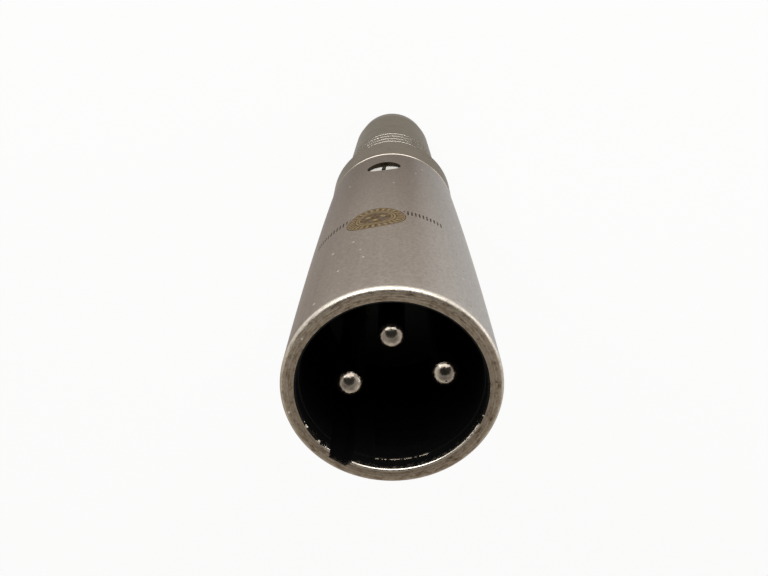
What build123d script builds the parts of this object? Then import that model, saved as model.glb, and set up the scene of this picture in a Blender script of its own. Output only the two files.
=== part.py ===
"""Adapter from a 6.35 mm three-pole jack socket to a three-pin XLR plug, in a metal body.

The axis is Z. The adapter stands on the open end of its jack barrel, with the mouth and the
three pins at the top. The origin is the centre of the barrel's end face. All lengths are in
millimetres and all angles in degrees, measured about Z from +X.
"""
import os
from math import cos, degrees, radians, sin, tan

from build123d import *

os.makedirs("parts", exist_ok=True)

# Lengths along the axis, from the open end of the jack barrel upwards
barrel_length = 29.2
collar_length = 6.1

# Cast shell
mouth_wall = 1.5
mouth_depth = 15.5
lead_in_step = 0.1
lead_in_depth = 1.5
mouth_outer_round = 0.4
mouth_inner_round = 0.08
shell_taper = 1.4
side_bow = 0.55
side_bands = 12
shell_rear_wall = 0.8
seat_lip_step = 1.1
seat_lip_thickness = 1.6
locating_rib_width = 1.5
locating_rib_height = 0.5
keyway_width = 2.3
keyway_floor_width = 1.7
keyway_depth = 0.7
keyway_length = 12.0
keyway_angle = 49.5
latch_recess_width = 4.9
latch_recess_height = 3.2
latch_recess_top = 3.4
latch_recess_depth = 0.5
latch_angle = 90.0

# Turned jack body
jack_bore_radius = 3.2
barrel_end_wall = 2.68
barrel_root_wall = 3.8
barrel_nose_length = 3.8
barrel_nose_drop = 0.45
barrel_end_round = 0.2
collar_rear_round = 0.3
seam_chamfer = 0.2
jack_lead_in = 0.6
bushing_length = 12.0
cavity_margin = 2.2
grip_groove_count = 4
grip_groove_first = 18.0
grip_groove_pitch = 1.75
grip_groove_width = 0.6
grip_groove_depth = 0.25
spigot_wall = 1.85
spigot_chamfer = 0.4
retaining_groove_depth = 0.4

# Screw through the shell into the spigot
screw_land = 0.35
spigot_above_screw = 5.1
screw_radius = 1.25
screw_sink_radius = 2.05
screw_sink_angle = 120.0
screw_recess = 0.5
screw_dome = 0.25
screw_tip_margin = 0.1
screw_slot_width = 0.5
screw_slot_depth = 0.5
screw_slot_turn = 4.0

# Contact pins and their insulator
pin_radius = 1.2
pin_root_radius = 1.4
pin_dome_height = 0.7
pin_inset = 2.73
pattern_shift = -0.48
pin_recess = 1.15
pin_shoulder_radius = 1.7
pin_shoulder_length = 1.2
cup_length = 4.2
cup_radius = 1.45
cup_bore_radius = 0.75
cup_bore_depth = 3.4
cup_opening_length = 2.4
insert_thickness = 8.6
insert_chamfer = 0.3
pin_angles = {"pin_1": 180.0, "pin_2": 0.0, "pin_3": 270.0}

# Clip that joins pin 1 to the shell
clip_thickness = 0.3
clip_width = 2.2
clip_eye_radius = 2.0
clip_tongue_length = 3.0
clip_wall_gap = 0.15

# Insulating sleeve between the spigot and the insulator
sleeve_wall = 0.9
sleeve_notch_margin = 0.25

# Contact carrier, its cap and its fixings
passage_margin = 0.3
spring_slot_wall = 0.55
cap_thickness = 2.1
cap_rim_height = 1.0
cap_rim_wall = 0.7
lug_thickness = 0.3
lug_wall = 0.65
lug_tail_width = 2.0
lug_tail_place = 3.3
lug_tail_length = 2.8
lug_hole_radius = 0.45
ring_thickness = 0.7
ring_overhang = 0.8
ring_gap_angle = 50.0

# Contact springs
spring_thickness = 0.3
spring_width = 2.4
spring_anchor_margin = 0.9
spring_bend_radius = 0.45
spring_straight = 1.5
spring_tail_rise = 2.75
spring_tail_end = 2.0
spring_root_rise = 0.7
spring_end_length = 1.7
tip_leaf_length = 9.0
tip_nose_bite = 0.55
ring_leaf_length = 14.5
ring_nose_bite = 0.45
spring_end_margin = 0.3
nose_bend_radius = 0.8

# Wires
wire_room = 5.7
core_radius = 0.3
jacket_radius = 0.65
core_bare_length = 1.2
wire_tail_gap = 0.2
wire_tail_place = 2.9
wire_bend_share = 0.28

# Clearances
fit_clearance = 0.05
press_clearance = 0.02
slide_clearance = 0.1
spring_clearance = 0.2

# Heights that follow from the sizes above
collar_top = barrel_length + collar_length
carrier_base = bushing_length + fit_clearance
spring_root_height = collar_top + spring_root_rise
tip_nose_height = spring_root_height - tip_leaf_length
ring_nose_height = spring_root_height - ring_leaf_length
cap_top = spring_root_height + cap_thickness + cap_rim_height
groove_base = cap_top + lug_thickness
ring_base = groove_base + fit_clearance
groove_top = ring_base + ring_thickness + fit_clearance
screw_height = groove_top + screw_land + screw_radius
spigot_top = screw_height + spigot_above_screw
cup_end = spigot_top + wire_room
insert_base = cup_end + cup_length
face_height = insert_base + insert_thickness
flange_top = face_height - seat_lip_thickness
mouth_height = face_height + mouth_depth
pin_tip_height = mouth_height - pin_recess
dome_base = pin_tip_height - pin_dome_height
arch_top = mouth_height - mouth_outer_round

# Radii that follow from the sizes above, outwards from the socket's bore
barrel_end_radius = jack_bore_radius + barrel_end_wall
barrel_root_radius = jack_bore_radius + barrel_root_wall
cavity_radius = jack_bore_radius + cavity_margin
spigot_radius = cavity_radius + spigot_wall
shell_rear_bore = spigot_radius + fit_clearance
shell_rear_radius = shell_rear_bore + shell_rear_wall
mouth_radius = shell_rear_radius + shell_taper
spring_anchor_place = jack_bore_radius + spring_anchor_margin
spring_end_place = jack_bore_radius + spring_end_margin
tip_nose_place = jack_bore_radius - tip_nose_bite
ring_nose_place = jack_bore_radius - ring_nose_bite
ring_inner_radius = cavity_radius - ring_overhang
mouth_bore_radius = mouth_radius - mouth_wall
lead_in_radius = mouth_bore_radius + lead_in_step
seat_lip_radius = mouth_bore_radius - seat_lip_step
keyway_reach = mouth_bore_radius + keyway_depth
pin_circle_radius = seat_lip_radius - pin_inset
collar_radius = shell_rear_radius
insert_radius = shell_rear_bore - fit_clearance
sleeve_radius = shell_rear_bore - slide_clearance
passage_radius = jack_bore_radius + passage_margin
carrier_radius = cavity_radius - slide_clearance
spring_slot_reach = carrier_radius - spring_slot_wall
spring_slot_width = spring_width + 2 * spring_clearance
jacket_bore_radius = core_radius + press_clearance


def taper_radius(height: float) -> float:
    """Radius of the slim barrel at a height."""
    share = height / barrel_length
    return barrel_end_radius + share * (barrel_root_radius - barrel_end_radius)


def shell_radius(height: float) -> float:
    """Outer radius of the shell at a height on its side, which bows in more towards the rear."""
    share = (arch_top - height) / (arch_top - collar_top)
    return mouth_radius - shell_taper * ((1 - side_bow) * share + side_bow * share**2)


def pin_site(angle: float) -> tuple[float, float]:
    """Place of a pin in the XY plane. The pattern sits a little to one side of the axis."""
    x = pattern_shift + pin_circle_radius * cos(radians(angle))
    y = pin_circle_radius * sin(radians(angle))
    return x, y


def section_plane(x: float = 0.0, y: float = 0.0) -> Plane:
    """Upright plane through a vertical axis. Its x is the radius and its y the height."""
    return Plane(origin=(x, y, 0), x_dir=(1, 0, 0), z_dir=(0, -1, 0))


def finish(piece: BuildPart, name: str) -> None:
    """Label a piece and write its file."""
    piece.part.label = name
    export_step(piece.part, f"parts/{name}.step")


# Shell: one casting that holds the insulator against an inner lip. Its bowed side is
# followed in short bands, each a slim cone, so that its facets come out even.
side_base = collar_top + seam_chamfer
band_height = (arch_top - side_base) / side_bands
side_heights = [side_base + index * band_height for index in range(side_bands + 1)]
with BuildPart() as shell:
    with BuildSketch(Plane.XZ):
        with BuildLine():
            Polyline(
                (shell_rear_bore, collar_top),
                (shell_rear_radius - seam_chamfer, collar_top),
                *[(shell_radius(height), height) for height in side_heights],
            )
            edge = RadiusArc(
                (mouth_radius, arch_top),
                (mouth_radius - mouth_outer_round, mouth_height),
                -mouth_outer_round,
            )
            Polyline(
                edge @ 1,
                (lead_in_radius + mouth_inner_round, mouth_height),
                (lead_in_radius, mouth_height - mouth_inner_round),
                (lead_in_radius, mouth_height - lead_in_depth),
                (mouth_bore_radius, mouth_height - lead_in_depth),
                (mouth_bore_radius, face_height),
                (seat_lip_radius, face_height),
                (seat_lip_radius, flange_top),
                (shell_rear_bore, flange_top),
                (shell_rear_bore, collar_top),
            )
        make_face()
    revolve(axis=Axis.Z)

    # Locating rib for the insulator's flange, opposite the screw
    with BuildSketch(Plane.XY.offset(insert_base)):
        rib_outer = shell_rear_bore + locating_rib_height / 2
        with Locations((0, rib_outer - 0.75 * locating_rib_height)):
            Rectangle(locating_rib_width, 1.5 * locating_rib_height)
    extrude(amount=flange_top - insert_base)

    # Keyway in the mouth, narrower at its floor
    flank_slope = (keyway_width - keyway_floor_width) / 2 / keyway_depth
    keyway_open_half = keyway_width / 2 + flank_slope * mouth_bore_radius / 2
    with BuildSketch(Plane.XY.offset(mouth_height).rotated((0, 0, keyway_angle))):
        with BuildLine():
            Polyline(
                (mouth_bore_radius / 2, -keyway_open_half),
                (keyway_reach, -keyway_floor_width / 2),
                (keyway_reach, keyway_floor_width / 2),
                (mouth_bore_radius / 2, keyway_open_half),
                close=True,
            )
        make_face()
    extrude(amount=-keyway_length, mode=Mode.SUBTRACT)

    # Recess in the mouth's wall that the mating connector's latch drops into
    recess_turn = degrees(latch_recess_width / mouth_bore_radius)
    recess_start = latch_angle - recess_turn / 2
    recess_plane = section_plane().rotated((0, 0, recess_start))
    with BuildSketch(recess_plane):
        recess_middle = mouth_height - latch_recess_top - latch_recess_height / 2
        with Locations((mouth_bore_radius, recess_middle)):
            Rectangle(2 * latch_recess_depth, latch_recess_height)
    revolve(axis=Axis.Z, revolution_arc=recess_turn, mode=Mode.SUBTRACT)

    # Hole for the retaining screw, its countersink set in below the surface
    screw_surface = shell_radius(screw_height)
    sink_place = (0, screw_recess - screw_surface, screw_height)
    with Locations(Plane(origin=sink_place, x_dir=(1, 0, 0), z_dir=(0, -1, 0))):
        CounterSinkHole(
            radius=screw_radius + fit_clearance,
            counter_sink_radius=screw_sink_radius,
            depth=screw_surface - screw_recess - shell_rear_bore / 2,
            counter_sink_angle=screw_sink_angle,
        )
finish(shell, "shell")

# Jack body: slim barrel, collar and the spigot that enters the shell, turned from one bar
nose_radius = taper_radius(barrel_nose_length) - barrel_nose_drop
with BuildPart() as jack_body:
    with BuildSketch(Plane.XZ):
        with BuildLine():
            nose = RadiusArc(
                (nose_radius - barrel_end_round, 0),
                (nose_radius, barrel_end_round),
                -barrel_end_round,
            )
            Polyline(
                nose @ 1,
                (taper_radius(barrel_nose_length), barrel_nose_length),
                (barrel_root_radius, barrel_length),
                (collar_radius - collar_rear_round, barrel_length),
                (collar_radius, barrel_length + collar_rear_round),
                (collar_radius, collar_top - seam_chamfer),
                (collar_radius - seam_chamfer, collar_top),
                (spigot_radius, collar_top),
                (spigot_radius, spigot_top - spigot_chamfer),
                (spigot_radius - spigot_chamfer, spigot_top),
                (cavity_radius, spigot_top),
                (cavity_radius, bushing_length),
                (jack_bore_radius, bushing_length),
                (jack_bore_radius, jack_lead_in),
                (jack_bore_radius + jack_lead_in, 0),
                nose @ 0,
            )
        make_face()
    revolve(axis=Axis.Z)

    # Fine grooves turned round the barrel
    with BuildSketch(Plane.XZ):
        for index in range(grip_groove_count):
            height = grip_groove_first + index * grip_groove_pitch
            with Locations((taper_radius(height), height)):
                Ellipse(grip_groove_depth, grip_groove_width / 2)
    revolve(axis=Axis.Z, mode=Mode.SUBTRACT)

    # Groove for the retaining ring
    with BuildSketch(Plane.XZ):
        with Locations((cavity_radius, (groove_base + groove_top) / 2)):
            Rectangle(2 * retaining_groove_depth, groove_top - groove_base)
    revolve(axis=Axis.Z, mode=Mode.SUBTRACT)

    # Tapped hole for the retaining screw
    with BuildSketch(Plane.XZ.offset(cavity_radius / 2)):
        with Locations((0, screw_height)):
            Circle(screw_radius + press_clearance)
    extrude(amount=spigot_radius, mode=Mode.SUBTRACT)
finish(jack_body, "jack_body")

# Retaining screw: countersunk, with a slotted and slightly domed head
screw_plane = Plane(origin=(0, -screw_surface, screw_height), x_dir=(1, 0, 0), z_dir=(0, 0, 1))
head_radius = screw_sink_radius - fit_clearance
head_top = screw_recess - screw_dome
shank_start = screw_recess + (head_radius - screw_radius) / tan(radians(screw_sink_angle / 2))
screw_reach = screw_surface - cavity_radius - screw_tip_margin
with BuildPart() as retaining_screw:
    with BuildSketch(screw_plane):
        with BuildLine():
            dome = TangentArc((0, head_top), (head_radius, screw_recess), tangent=(1, 0))
            Polyline(
                dome @ 1,
                (screw_radius, shank_start),
                (screw_radius, screw_reach - screw_radius / 2),
                (screw_radius / 2, screw_reach),
                (0, screw_reach),
                dome @ 0,
            )
        make_face()
    revolve(axis=Axis((0, 0, screw_height), (0, 1, 0)))
    slot_plane = Plane(
        origin=(0, head_top - screw_surface, screw_height), x_dir=(1, 0, 0), z_dir=(0, 1, 0)
    )
    with BuildSketch(slot_plane):
        Rectangle(screw_slot_width, 3 * screw_sink_radius, rotation=screw_slot_turn)
    extrude(amount=screw_slot_depth, mode=Mode.SUBTRACT)
finish(retaining_screw, "retaining_screw")

# Insulator that carries the three pins
with BuildPart() as pin_insulator:
    with BuildSketch(Plane.XY.offset(insert_base)):
        Circle(insert_radius)
        notch_depth = locating_rib_height + slide_clearance
        with Locations((0, insert_radius)):
            Rectangle(locating_rib_width + 2 * slide_clearance, 2 * notch_depth, mode=Mode.SUBTRACT)
    extrude(amount=flange_top - insert_base)
    with BuildSketch(Plane.XY.offset(flange_top)):
        Circle(seat_lip_radius - fit_clearance)
    extrude(amount=seat_lip_thickness)
    chamfer(pin_insulator.edges().group_by(Axis.Z)[-1], length=insert_chamfer)
    with BuildSketch(Plane.XY.offset(insert_base)):
        with Locations(*[pin_site(angle) for angle in pin_angles.values()]):
            Circle(pin_root_radius + press_clearance)
    extrude(amount=insert_thickness, mode=Mode.SUBTRACT)
    with BuildSketch(Plane.XY.offset(insert_base)):
        with Locations(*[pin_site(angle) for angle in pin_angles.values()]):
            Circle(pin_shoulder_radius + press_clearance)
    extrude(amount=pin_shoulder_length + press_clearance, mode=Mode.SUBTRACT)
finish(pin_insulator, "pin_insulator")

# Contact pins: domed tip, shoulder seated in the insulator and a solder cup behind it
for pin_name, angle in pin_angles.items():
    pin_x, pin_y = pin_site(angle)
    with BuildPart() as contact_pin:
        with BuildSketch(section_plane(pin_x, pin_y)):
            with BuildLine():
                dome = TangentArc((0, pin_tip_height), (pin_radius, dome_base), tangent=(1, 0))
                Polyline(
                    dome @ 0,
                    (0, cup_end + cup_bore_depth),
                    (cup_bore_radius, cup_end + cup_bore_depth),
                    (cup_bore_radius, cup_end),
                    (cup_radius, cup_end),
                    (cup_radius, insert_base),
                    (pin_shoulder_radius, insert_base),
                    (pin_shoulder_radius, insert_base + pin_shoulder_length),
                    (pin_root_radius, insert_base + pin_shoulder_length),
                    (pin_root_radius, face_height),
                    (pin_radius, face_height),
                    dome @ 1,
                )
            make_face()
        revolve(axis=Axis((pin_x, pin_y, 0), (0, 0, 1)))
        with BuildSketch(Plane(origin=(pin_x, pin_y, cup_end)).rotated((0, 0, angle))):
            with Locations((-cup_radius, 0)):
                Rectangle(2 * cup_radius, 4 * cup_radius)
        extrude(amount=cup_opening_length, mode=Mode.SUBTRACT)
    finish(contact_pin, pin_name)

# Clip: an eye round pin 1 and a tongue along the shell's wall
clip_x, clip_y = pin_site(pin_angles["pin_1"])
clip_face = -(shell_rear_bore - clip_wall_gap)
with BuildPart() as ground_clip:
    with BuildSketch(Plane.XY.offset(insert_base)):
        with Locations((clip_x, clip_y)):
            Circle(clip_eye_radius)
        with Locations(((clip_x + clip_face) / 2, clip_y)):
            Rectangle(clip_x - clip_face, clip_width)
        with Locations((clip_x, clip_y)):
            Circle(cup_radius + press_clearance, mode=Mode.SUBTRACT)
    extrude(amount=-clip_thickness)
    with BuildSketch(Plane.XY.offset(insert_base)):
        with Locations((clip_face + clip_thickness / 2, clip_y)):
            Rectangle(clip_thickness, clip_width)
    extrude(amount=-clip_tongue_length)
finish(ground_clip, "ground_clip")

# Sleeve that keeps the wires off the shell and spaces the insulator from the spigot
with BuildPart() as insulating_sleeve:
    with BuildSketch(Plane.XY.offset(spigot_top + fit_clearance)):
        Circle(sleeve_radius)
        Circle(sleeve_radius - sleeve_wall, mode=Mode.SUBTRACT)
    extrude(amount=insert_base - spigot_top - 2 * fit_clearance)
    with BuildSketch(Plane.XY.offset(insert_base)):
        with Locations((-sleeve_radius, clip_y)):
            Rectangle(3 * sleeve_wall, clip_width + 2 * sleeve_notch_margin)
    extrude(amount=-clip_tongue_length - sleeve_notch_margin, mode=Mode.SUBTRACT)
finish(insulating_sleeve, "insulating_sleeve")

# Carrier: a moulded tube round the plug's path, slotted for the two springs
spring_slots = {
    1: tip_nose_height - spring_end_length - 2 * spring_clearance,
    -1: ring_nose_height - spring_end_length - 2 * spring_clearance,
}
with BuildPart() as contact_carrier:
    with BuildSketch(Plane.XY.offset(carrier_base)):
        Circle(carrier_radius)
        Circle(passage_radius, mode=Mode.SUBTRACT)
    extrude(amount=spring_root_height - carrier_base)
    for side, slot_base in spring_slots.items():
        with BuildSketch(Plane.XY.offset(slot_base)):
            with Locations((side * spring_slot_reach / 2, 0)):
                Rectangle(spring_slot_reach, spring_slot_width)
        extrude(amount=spring_root_height - slot_base, mode=Mode.SUBTRACT)
finish(contact_carrier, "contact_carrier")

# Cap that closes the carrier and clamps the springs' roots
with BuildPart() as carrier_cap:
    with BuildSketch(Plane.XY.offset(spring_root_height)):
        Circle(carrier_radius)
    extrude(amount=cap_thickness + cap_rim_height)
    with BuildSketch(Plane.XY.offset(cap_top)):
        Circle(carrier_radius - cap_rim_wall)
    extrude(amount=-cap_rim_height, mode=Mode.SUBTRACT)
    with BuildSketch(Plane.XY.offset(spring_root_height)):
        slot_inner = spring_anchor_place - spring_thickness / 2 - 2 * spring_clearance
        slot_outer = spring_anchor_place + spring_thickness / 2 + spring_clearance
        for side in spring_slots:
            with Locations((side * (slot_inner + slot_outer) / 2, 0)):
                Rectangle(slot_outer - slot_inner, spring_slot_width)
    extrude(amount=cap_thickness, mode=Mode.SUBTRACT)
finish(carrier_cap, "carrier_cap")

# Lug: a washer that touches the metal body, with a tail for the shield wire
with BuildPart() as sleeve_lug:
    lug_inner_radius = carrier_radius - lug_wall
    with BuildSketch(Plane.XY.offset(cap_top)):
        Circle(carrier_radius)
        Circle(lug_inner_radius, mode=Mode.SUBTRACT)
        with Locations((0, (lug_tail_place + lug_inner_radius + lug_wall / 2) / 2)):
            Rectangle(lug_tail_width, lug_inner_radius + lug_wall / 2 - lug_tail_place)
    extrude(amount=lug_thickness)
    with BuildSketch(Plane.XY.offset(cap_top)):
        with Locations((0, lug_tail_place + lug_thickness / 2)):
            Rectangle(lug_tail_width, lug_thickness)
    extrude(amount=lug_tail_length)
    with BuildSketch(Plane.XZ):
        with Locations((0, cap_top + lug_tail_length - lug_tail_width / 2)):
            Circle(lug_hole_radius)
    extrude(amount=-cavity_radius, mode=Mode.SUBTRACT)
finish(sleeve_lug, "sleeve_lug")

# Retaining ring sprung into the groove above the lug
with BuildPart() as retaining_ring:
    with BuildSketch(Plane.XY.offset(ring_base)):
        Circle(cavity_radius + retaining_groove_depth - fit_clearance)
        Circle(ring_inner_radius, mode=Mode.SUBTRACT)
        with BuildLine():
            gap_reach = 2 * cavity_radius
            gap_side = gap_reach * tan(radians(ring_gap_angle / 2))
            Polyline((0, 0), (gap_side, gap_reach), (-gap_side, gap_reach), close=True)
        make_face(mode=Mode.SUBTRACT)
    extrude(amount=ring_thickness)
finish(retaining_ring, "retaining_ring")

# Contact springs: a root clamped by the cap, a leaf that leans in and a nose on the plug
spring_routes = {
    "tip_spring": (1, tip_nose_height, tip_nose_place),
    "ring_spring": (-1, ring_nose_height, ring_nose_place),
}
for spring_name, (side, nose_height, nose_place) in spring_routes.items():
    tail_height = spring_root_height + spring_tail_rise
    with BuildPart() as contact_spring:
        with BuildSketch(Plane.XZ):
            with BuildLine():
                FilletPolyline(
                    (side * spring_tail_end, tail_height),
                    (side * spring_anchor_place, tail_height),
                    (side * spring_anchor_place, spring_root_height - spring_straight),
                    (side * nose_place, nose_height),
                    (side * spring_end_place, nose_height - spring_end_length),
                    radius=[spring_bend_radius, nose_bend_radius, nose_bend_radius],
                )
            trace(line_width=spring_thickness)
        extrude(amount=spring_width / 2, both=True)
    finish(contact_spring, spring_name)


def smooth_radius(first: Vector, middle: Vector, last: Vector) -> float:
    """Largest even bend at the middle of three points on a wire's path."""
    turn = (middle - first).get_angle(last - middle)
    shorter = min((middle - first).length, (last - middle).length)
    return 0.45 * shorter / tan(radians(turn / 2))


# Wires: a bare core from a tail to its pin's cup, inside an insulating jacket
lug_wire_start = cap_top + lug_tail_length + wire_tail_gap - core_bare_length
wire_cup_height = cup_end + cup_bore_depth - 2 * wire_tail_gap
tail_start = spring_root_height + spring_tail_rise + spring_thickness / 2 + wire_tail_gap
wire_starts = {
    "tip_wire": (wire_tail_place, 0.0, tail_start, "pin_2"),
    "ring_wire": (-wire_tail_place, 0.0, tail_start, "pin_3"),
    "sleeve_wire": (0.0, lug_tail_place - core_radius - wire_tail_gap, lug_wire_start, "pin_1"),
}
for wire_name, (start_x, start_y, start_z, pin_name) in wire_starts.items():
    end_x, end_y = pin_site(pin_angles[pin_name])
    bend_rise = wire_bend_share * (cup_end - start_z)
    route = [
        Vector(start_x, start_y, start_z),
        Vector(start_x, start_y, start_z + bend_rise),
        Vector(end_x, end_y, cup_end - bend_rise),
        Vector(end_x, end_y, wire_cup_height),
    ]
    jacket_route = [
        route[0] + Vector(0, 0, core_bare_length),
        route[1],
        route[2],
        Vector(end_x, end_y, cup_end - wire_tail_gap),
    ]
    bends = [smooth_radius(*jacket_route[index : index + 3]) for index in range(2)]
    print(wire_name, "bend radii", [round(bend, 2) for bend in bends])
    with BuildPart() as core:
        with BuildLine() as core_path:
            FilletPolyline(*route, radius=bends)
        with BuildSketch(Plane(origin=route[0], z_dir=(0, 0, 1))):
            Circle(core_radius)
        sweep()
    finish(core, f"{wire_name}_core")

    with BuildPart() as jacket:
        with BuildLine() as jacket_path:
            FilletPolyline(*jacket_route, radius=bends)
        with BuildSketch(Plane(origin=jacket_route[0], z_dir=(0, 0, 1))):
            Circle(jacket_radius)
            Circle(jacket_bore_radius, mode=Mode.SUBTRACT)
        sweep()
    finish(jacket, f"{wire_name}_jacket")

# Solder in the pins' cups, round the wires' cores
with BuildPart() as cup_solder:
    with BuildSketch(Plane.XY.offset(cup_end + cup_opening_length)):
        with Locations(*[pin_site(angle) for angle in pin_angles.values()]):
            Circle(cup_bore_radius - press_clearance)
            Circle(core_radius + press_clearance, mode=Mode.SUBTRACT)
    extrude(amount=cup_bore_depth - cup_opening_length - 2 * wire_tail_gap)
finish(cup_solder, "cup_solder")
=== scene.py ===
"""Looks for the jack to XLR adapter: finishes, marks, a cast shell and the studio round it.

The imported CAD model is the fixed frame. The adapter stands on its jack end at the origin with the
mouth and pins upwards. Blender works in metres, and the sizes in this file are written in
millimetres and turned by one factor.
"""
import logging
from dataclasses import dataclass
from enum import Enum
from math import cos, hypot, isclose, pi, radians, sin, tan

import bpy
from bpy.types import Material, Node, NodeSocket, NodeTree, Object
from mathutils import Matrix, Vector

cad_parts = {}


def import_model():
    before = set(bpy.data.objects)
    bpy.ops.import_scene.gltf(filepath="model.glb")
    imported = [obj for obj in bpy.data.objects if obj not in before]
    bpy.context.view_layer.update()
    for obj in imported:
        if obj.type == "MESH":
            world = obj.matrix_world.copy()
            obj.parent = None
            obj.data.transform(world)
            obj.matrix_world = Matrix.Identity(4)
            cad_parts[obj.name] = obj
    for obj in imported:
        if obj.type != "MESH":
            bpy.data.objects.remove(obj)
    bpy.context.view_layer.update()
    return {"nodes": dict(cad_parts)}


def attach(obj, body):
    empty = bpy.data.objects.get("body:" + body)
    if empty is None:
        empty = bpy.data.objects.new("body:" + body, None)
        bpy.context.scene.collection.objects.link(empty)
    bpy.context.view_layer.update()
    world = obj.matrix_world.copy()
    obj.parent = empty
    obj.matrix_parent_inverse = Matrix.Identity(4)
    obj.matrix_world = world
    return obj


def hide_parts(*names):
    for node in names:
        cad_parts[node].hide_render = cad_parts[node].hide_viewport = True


MM = 0.001
# Corners nearer than this merge, in millimetres
MERGE = 0.001
# A noise pattern keeps mostly between these two values
NOISE_LOW = 0.3
NOISE_HIGH = 0.7

logging.basicConfig(level=logging.INFO, format="%(message)s")
LOG = logging.getLogger("adapter")


class Body(Enum):
    """CAD bodies that a piece can ride on."""

    ADAPTER = "adapter_body"


class Zone(Enum):
    """Parts of the shell's surface, by the number of their material slot."""

    PLATE = 0
    LACQUER = 1
    GRIME = 2


def linear(colour: str) -> tuple[float, float, float, float]:
    """Turn an sRGB hex colour into linear values for a shader.

    Args:
        colour: Six hex digits.

    Returns:
        Linear red, green and blue with an alpha of one.
    """
    shares = [int(colour[place : place + 2], 16) / 255 for place in (0, 2, 4)]
    turned = [share / 12.92 if share <= 0.04045 else ((share + 0.055) / 1.055) ** 2.4 for share in shares]
    return (turned[0], turned[1], turned[2], 1.0)


def per_metre(millimetres: float) -> float:
    """Scale of a pattern whose features are this many millimetres across."""
    return 1.0 / (millimetres * MM)


def add_node(
    tree: NodeTree,
    kind: str,
    inputs: dict | None = None,
    stops: list[tuple[float, tuple[float, float, float, float]]] | None = None,
    **settings: object,
) -> Node:
    """Add a node, set its properties and fill its sockets.

    Args:
        tree: Node tree that receives the node.
        kind: Node type name.
        inputs: Values or output sockets by socket name or number.
        stops: Places and colours of a colour ramp.
        **settings: Properties of the node itself.

    Returns:
        The new node.
    """
    node = tree.nodes.new(kind)
    for name, value in settings.items():
        setattr(node, name, value)
    for key, value in (inputs or {}).items():
        if isinstance(value, NodeSocket):
            tree.links.new(value, node.inputs[key])
        else:
            node.inputs[key].default_value = value
    if stops:
        ramp = node.color_ramp.elements
        while len(ramp) < len(stops):
            ramp.new(0.5)
        for element, (place, colour) in zip(ramp, stops):
            element.position = place
            element.color = colour
    return node


def stripes(tree: NodeTree, value: NodeSocket, pitch: float, share: float) -> NodeSocket:
    """Repeat a mark at an even pitch.

    Args:
        tree: Node tree that receives the nodes.
        value: Socket of the place along the row.
        pitch: Distance from mark to mark.
        share: Share of the pitch that a mark takes.

    Returns:
        Socket that is one on the marks.
    """
    row = add_node(tree, "ShaderNodeMath", {0: value, 1: pitch}, operation="DIVIDE")
    row = add_node(tree, "ShaderNodeMath", {0: row.outputs[0]}, operation="FRACT")
    row = add_node(tree, "ShaderNodeMath", {0: row.outputs[0], 1: share}, operation="LESS_THAN")
    return row.outputs[0]


def paint(tree: NodeTree, colour: object, layers: list[tuple[tuple[NodeSocket, ...], object]]) -> NodeSocket:
    """Lay tones over a colour, each as far as all of its masks let it.

    Args:
        tree: Node tree that receives the nodes.
        colour: Value or socket of the colour beneath.
        layers: Masks of each layer and its tone, a value or a socket, lowest first.

    Returns:
        Socket of the painted colour.
    """
    for masks, tone in layers:
        mask = masks[0]
        for other in masks[1:]:
            mask = add_node(tree, "ShaderNodeMath", {0: mask, 1: other}, operation="MULTIPLY").outputs[0]
        layer = add_node(tree, "ShaderNodeMix", {0: mask, 6: colour, 7: tone}, data_type="RGBA")
        colour = layer.outputs[2]
    return colour


@dataclass(frozen=True)
class Finish:
    """A surface finish: what it is made of and how it was made."""

    title: str
    colour: str
    roughness: float = 0.4

    def build(self) -> Material:
        """Make the material."""
        raise NotImplementedError

    def material(self) -> Material:
        """Give the finish's material, built on its first use."""
        return bpy.data.materials.get(self.title) or self.build()

    def start(self) -> tuple[Material, NodeTree, Node, NodeSocket]:
        """Make the material with its shader.

        Returns:
            The material, its tree, its shader and the socket of a point's place in metres.
        """
        material = bpy.data.materials.new(self.title)
        material.use_nodes = True
        tree = material.node_tree
        tree.nodes.clear()
        shader = add_node(tree, "ShaderNodeBsdfPrincipled")
        add_node(tree, "ShaderNodeOutputMaterial", {"Surface": shader.outputs[0]})
        shader.inputs["Base Color"].default_value = linear(self.colour)
        shader.inputs["Roughness"].default_value = self.roughness
        return material, tree, shader, add_node(tree, "ShaderNodeTexCoord").outputs["Object"]

    def roughen(
        self,
        tree: NodeTree,
        shader: Node,
        pattern: NodeSocket,
        swing: float,
        depth: float,
        strength: float = 1.0,
    ) -> NodeSocket:
        """Let one pattern vary the gloss and stand as relief.

        Args:
            tree: The material's tree.
            shader: Its shader.
            pattern: Socket of the pattern.
            swing: How far the roughness goes up and down.
            depth: Height of the relief in millimetres.
            strength: Share of the relief that shows.

        Returns:
            Socket of the roughness.
        """
        low, high = self.roughness - swing, self.roughness + swing
        gloss = add_node(
            tree, "ShaderNodeMapRange", {0: pattern, 1: NOISE_LOW, 2: NOISE_HIGH, 3: low, 4: high}
        )
        bump = add_node(
            tree, "ShaderNodeBump", {"Height": pattern, "Strength": strength, "Distance": depth * MM}
        )
        tree.links.new(gloss.outputs[0], shader.inputs["Roughness"])
        tree.links.new(bump.outputs[0], shader.inputs["Normal"])
        return gloss.outputs[0]


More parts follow.
